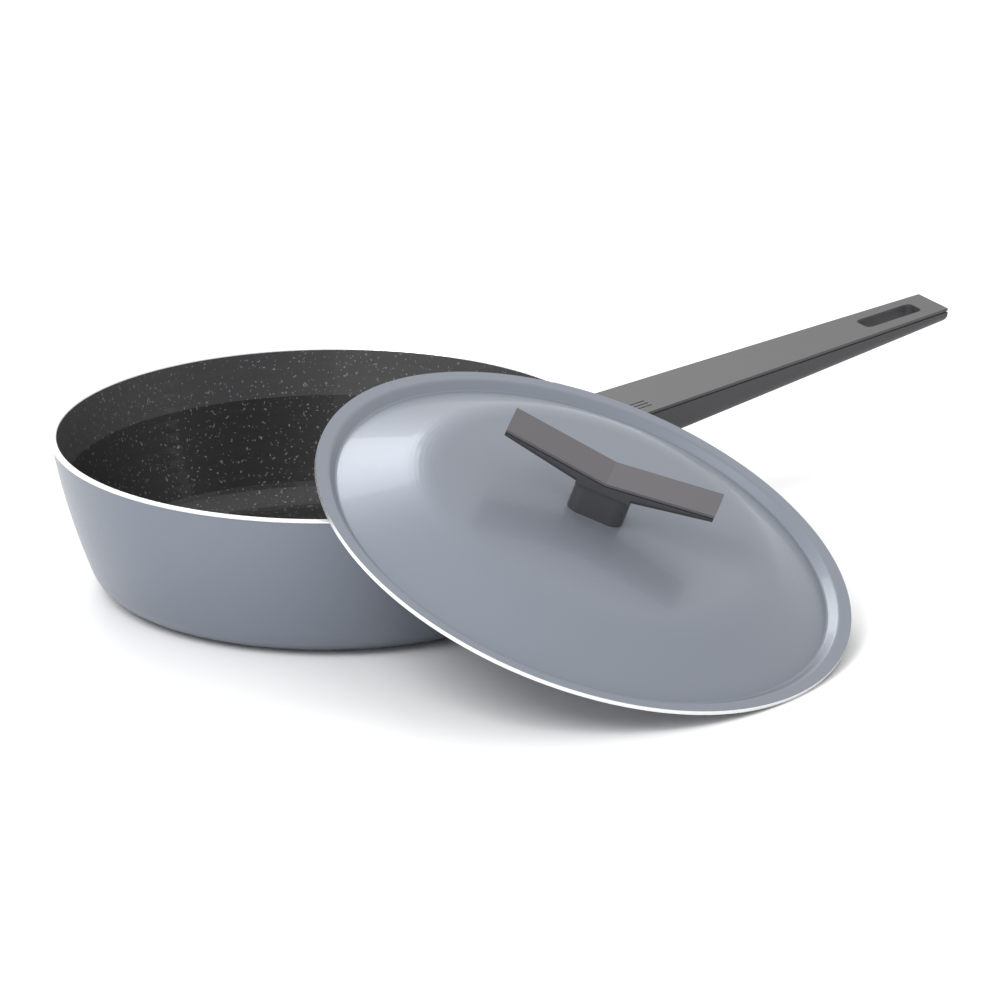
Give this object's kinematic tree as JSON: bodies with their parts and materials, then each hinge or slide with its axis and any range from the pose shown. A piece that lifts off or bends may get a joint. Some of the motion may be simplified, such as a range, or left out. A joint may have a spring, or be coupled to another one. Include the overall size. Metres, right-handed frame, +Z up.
{
  "type": "saute pan with lid",
  "caption": "Deep saute pan with a blue-grey painted body, a long flat handle with a hanging slot, and a domed lid leaning on its rim.",
  "frame": {"origin": "centre of the pan's underside, where it rests on the stove", "axes": "+Z up along the pan's axis, +X along the handle"},
  "size_m": [0.46, 0.3957, 0.1147],
  "materials": {
    "pan_paint": "satin",
    "lid_paint": "satin",
    "aluminium": "satin",
    "steel": "brushed",
    "brass": "satin",
    "grip_plastic": "matte",
    "panel_plastic": "matte"
  },
  "bodies": {
    "pan": {"pan_body": "pan_paint", "handle_bracket": "steel", "bracket_rivets": "aluminium", "handle_grip": "grip_plastic", "handle_panel": "panel_plastic", "handle_washer": "steel", "handle_screw": "steel"},
    "lid": {"lid_shell": "lid_paint", "knob_body": "grip_plastic", "knob_panel": "panel_plastic", "knob_insert": "brass", "knob_washer": "steel", "knob_screw": "steel"}
  },
  "joints": [
    {"name": "lid_lift", "type": "slide", "parent": "pan", "child": "lid", "axis": [0, 0, 1], "range_m": [0, 0.12]}
  ]
}
